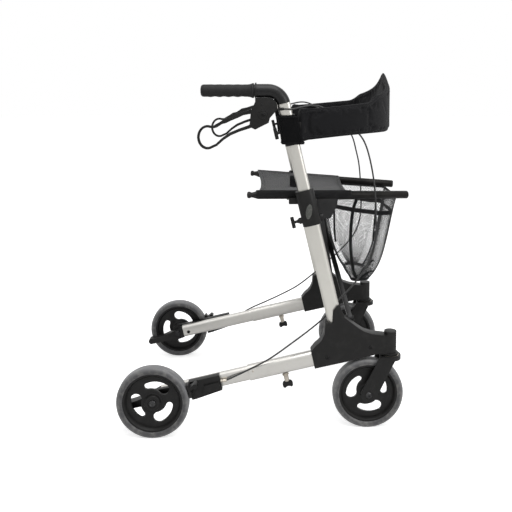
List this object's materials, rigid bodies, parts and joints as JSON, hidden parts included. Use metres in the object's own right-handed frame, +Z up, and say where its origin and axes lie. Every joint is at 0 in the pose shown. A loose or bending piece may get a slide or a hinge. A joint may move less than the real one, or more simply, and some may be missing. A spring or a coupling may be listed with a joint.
{
  "type": "rollator",
  "caption": "Folding rollator with four wheels, loop brake levers, seat between toed-in rails, padded backrest strap and net basket.",
  "frame": {"origin": "under the middle of the rollator's box, on the floor", "axes": "+X forwards, the way the user walks; +Y to the user's left; +Z up"},
  "size_m": [0.7962, 0.5852, 0.956],
  "materials": {
    "tyre": "matt grey solid tyre",
    "moulding": "satin black moulding",
    "tube": "satin silver",
    "steel": "plated",
    "grip_rubber": "dimpled black rubber",
    "cast_black": "satin black paint",
    "rail": "dark grey anodised",
    "fabric": "black woven nylon",
    "net": "black net with taped edges",
    "cable": "black cable sleeve"
  },
  "bodies": {
    "right_frame": {"right_upright": "tube", "right_leg_sleeve": "tube", "right_leg_tube": "tube", "right_front_bracket": "moulding", "right_collar": "moulding", "right_rear_bracket": "moulding", "right_lower_pivot": "steel", "right_rear_axle": "steel", "right_brake_cable": "cable"},
    "right_handle": {"right_stalk": "tube", "right_elbow": "cast_black", "right_grip": "grip_rubber", "right_brake_housing": "moulding", "right_backrest_clamp": "moulding", "backrest": "fabric"},
    "right_cam": {"right_brake_cam": "steel"},
    "right_lever": {"right_brake_lever": "moulding"},
    "right_shoe": {"right_brake_shoe": "moulding"},
    "right_height_knob": {"right_height_knob": "moulding"},
    "right_backrest_knob": {"right_backrest_knob": "moulding"},
    "right_wing_screw": {"right_wing_screw": "steel"},
    "right_rear_wheel": {"right_rear_rim": "moulding", "right_rear_tyre": "tyre"},
    "right_caster": {"right_fork": "moulding", "right_front_axle": "steel"},
    "right_front_wheel": {"right_front_rim": "moulding", "right_front_tyre": "tyre"},
    "left_frame": {"left_upright": "tube", "left_leg_sleeve": "tube", "left_leg_tube": "tube", "left_front_bracket": "moulding", "left_collar": "moulding", "left_rear_bracket": "moulding", "left_lower_pivot": "steel", "left_rear_axle": "steel", "left_brake_cable": "cable"},
    "left_handle": {"left_stalk": "tube", "left_elbow": "cast_black", "left_grip": "grip_rubber", "left_brake_housing": "moulding", "left_backrest_clamp": "moulding"},
    "left_cam": {"left_brake_cam": "steel"},
    "left_lever": {"left_brake_lever": "moulding"},
    "left_shoe": {"left_brake_shoe": "moulding"},
    "left_height_knob": {"left_height_knob": "moulding"},
    "left_backrest_knob": {"left_backrest_knob": "moulding"},
    "left_wing_screw": {"left_wing_screw": "steel"},
    "left_rear_wheel": {"left_rear_rim": "moulding", "left_rear_tyre": "tyre"},
    "left_caster": {"left_fork": "moulding", "left_front_axle": "steel"},
    "left_front_wheel": {"left_front_rim": "moulding", "left_front_tyre": "tyre"},
    "right_arm": {"right_cross_arm": "cast_black", "centre_pivot": "steel", "left_seat_rail": "rail"},
    "left_arm": {"left_cross_arm": "cast_black", "right_seat_rail": "rail"},
    "seat": {"seat_fabric": "fabric"},
    "basket": {"basket": "net"}
  },
  "joints": [
    {"name": "fold", "type": "hinge", "parent": "right_frame", "child": "right_arm", "pos_m": [0.21838, -0.2, 0.285], "axis": [0.9732, 0, 0.23], "range_deg": [0, 37], "deforming": ["backrest", "seat_fabric", "basket"]},
    {"name": "cross_fold", "type": "hinge", "parent": "right_arm", "child": "left_arm", "pos_m": [0.18351, 0, 0.43252], "axis": [0.9732, 0, 0.23], "range_deg": [-74, 0]},
    {"name": "left_fold", "type": "hinge", "parent": "left_arm", "child": "left_frame", "pos_m": [0.21838, 0.2, 0.285], "axis": [0.9732, 0, 0.23], "range_deg": [0, 37]},
    {"name": "seat_hang", "type": "hinge", "parent": "left_arm", "child": "seat", "pos_m": [0.13813, -0.17961, 0.62448], "axis": [0.9732, 0, 0.23], "range_deg": [0, 37]},
    {"name": "basket_hang", "type": "hinge", "parent": "left_arm", "child": "basket", "pos_m": [0.13813, -0.17961, 0.62448], "axis": [0.9732, 0, 0.23], "range_deg": [0, 37]},
    {"name": "right_height", "type": "slide", "parent": "right_frame", "child": "right_handle", "axis": [-0.23, 0, 0.9732], "range_m": [-0.1, 0.08], "deforming": ["right_brake_cable"]},
    {"name": "right_brake_lock", "type": "hinge", "parent": "right_handle", "child": "right_cam", "pos_m": [-0.0111, -0.232, 0.844], "axis": [0, -1, 0], "range_deg": [0, 14]},
    {"name": "right_brake_squeeze", "type": "hinge", "parent": "right_cam", "child": "right_lever", "pos_m": [-0.0111, -0.232, 0.844], "axis": [0, 1, 0], "range_deg": [0, 9], "stiffness_Nm_per_rad": 0.8, "springref_deg": -14.32},
    {"name": "right_brake_shoe", "type": "hinge", "parent": "right_frame", "child": "right_shoe", "pos_m": [-0.1911, -0.275, 0.1375], "axis": [0, 1, 0], "range_deg": [0, 3.8]},
    {"name": "right_height_clamp", "type": "hinge", "parent": "right_frame", "child": "right_height_knob", "pos_m": [0.11401, -0.232, 0.57], "axis": [-0.9732, 0, -0.23], "range_deg": [-360, 0]},
    {"name": "right_backrest_screw", "type": "hinge", "parent": "right_handle", "child": "right_backrest_knob", "pos_m": [0.05894, -0.232, 0.803], "axis": [-0.9732, 0, -0.23], "range_deg": [-360, 0]},
    {"name": "right_leg_clamp", "type": "hinge", "parent": "right_frame", "child": "right_wing_screw", "pos_m": [0.0415, -0.232, 0.17223], "axis": [0.2199, 0, -0.9755], "range_deg": [-360, 0]},
    {"name": "right_rear_wheel_spin", "type": "hinge", "parent": "right_frame", "child": "right_rear_wheel", "pos_m": [-0.3011, -0.275, 0.095], "axis": [0, 1, 0], "continuous": true},
    {"name": "right_caster_swivel", "type": "hinge", "parent": "right_frame", "child": "right_caster", "pos_m": [0.3289, -0.232, 0.2], "axis": [0, 0, 1], "continuous": true},
    {"name": "right_front_wheel_spin", "type": "hinge", "parent": "right_caster", "child": "right_front_wheel", "pos_m": [0.2689, -0.232, 0.095], "axis": [0, 1, 0], "continuous": true},
    {"name": "left_height", "type": "slide", "parent": "left_frame", "child": "left_handle", "axis": [-0.23, 0, 0.9732], "range_m": [-0.1, 0.08], "deforming": ["left_brake_cable"]},
    {"name": "left_brake_lock", "type": "hinge", "parent": "left_handle", "child": "left_cam", "pos_m": [-0.0111, 0.232, 0.844], "axis": [0, -1, 0], "range_deg": [0, 14]},
    {"name": "left_brake_squeeze", "type": "hinge", "parent": "left_cam", "child": "left_lever", "pos_m": [-0.0111, 0.232, 0.844], "axis": [0, 1, 0], "range_deg": [0, 9], "stiffness_Nm_per_rad": 0.8, "springref_deg": -14.32},
    {"name": "left_brake_shoe", "type": "hinge", "parent": "left_frame", "child": "left_shoe", "pos_m": [-0.1911, 0.275, 0.1375], "axis": [0, 1, 0], "range_deg": [0, 3.8]},
    {"name": "left_height_clamp", "type": "hinge", "parent": "left_frame", "child": "left_height_knob", "pos_m": [0.11401, 0.232, 0.57], "axis": [-0.9732, 0, -0.23], "range_deg": [-360, 0]},
    {"name": "left_backrest_screw", "type": "hinge", "parent": "left_handle", "child": "left_backrest_knob", "pos_m": [0.05894, 0.232, 0.803], "axis": [-0.9732, 0, -0.23], "range_deg": [-360, 0]},
    {"name": "left_leg_clamp", "type": "hinge", "parent": "left_frame", "child": "left_wing_screw", "pos_m": [0.0415, 0.232, 0.17223], "axis": [0.2199, 0, -0.9755], "range_deg": [-360, 0]},
    {"name": "left_rear_wheel_spin", "type": "hinge", "parent": "left_frame", "child": "left_rear_wheel", "pos_m": [-0.3011, 0.275, 0.095], "axis": [0, 1, 0], "continuous": true},
    {"name": "left_caster_swivel", "type": "hinge", "parent": "left_frame", "child": "left_caster", "pos_m": [0.3289, 0.232, 0.2], "axis": [0, 0, 1], "continuous": true},
    {"name": "left_front_wheel_spin", "type": "hinge", "parent": "left_caster", "child": "left_front_wheel", "pos_m": [0.2689, 0.232, 0.095], "axis": [0, 1, 0], "continuous": true}
  ],
  "couplings": [
    {"joint": "cross_fold", "follows": "fold", "ratio": -2},
    {"joint": "left_fold", "follows": "fold", "ratio": 1},
    {"joint": "seat_hang", "follows": "fold", "ratio": 1},
    {"joint": "basket_hang", "follows": "fold", "ratio": 1},
    {"joint": "left_height", "follows": "right_height", "ratio": 1},
    {"joint": "right_brake_shoe", "follows": "right_brake_lock", "ratio": 0.27143},
    {"joint": "left_brake_shoe", "follows": "left_brake_lock", "ratio": 0.27143}
  ]
}
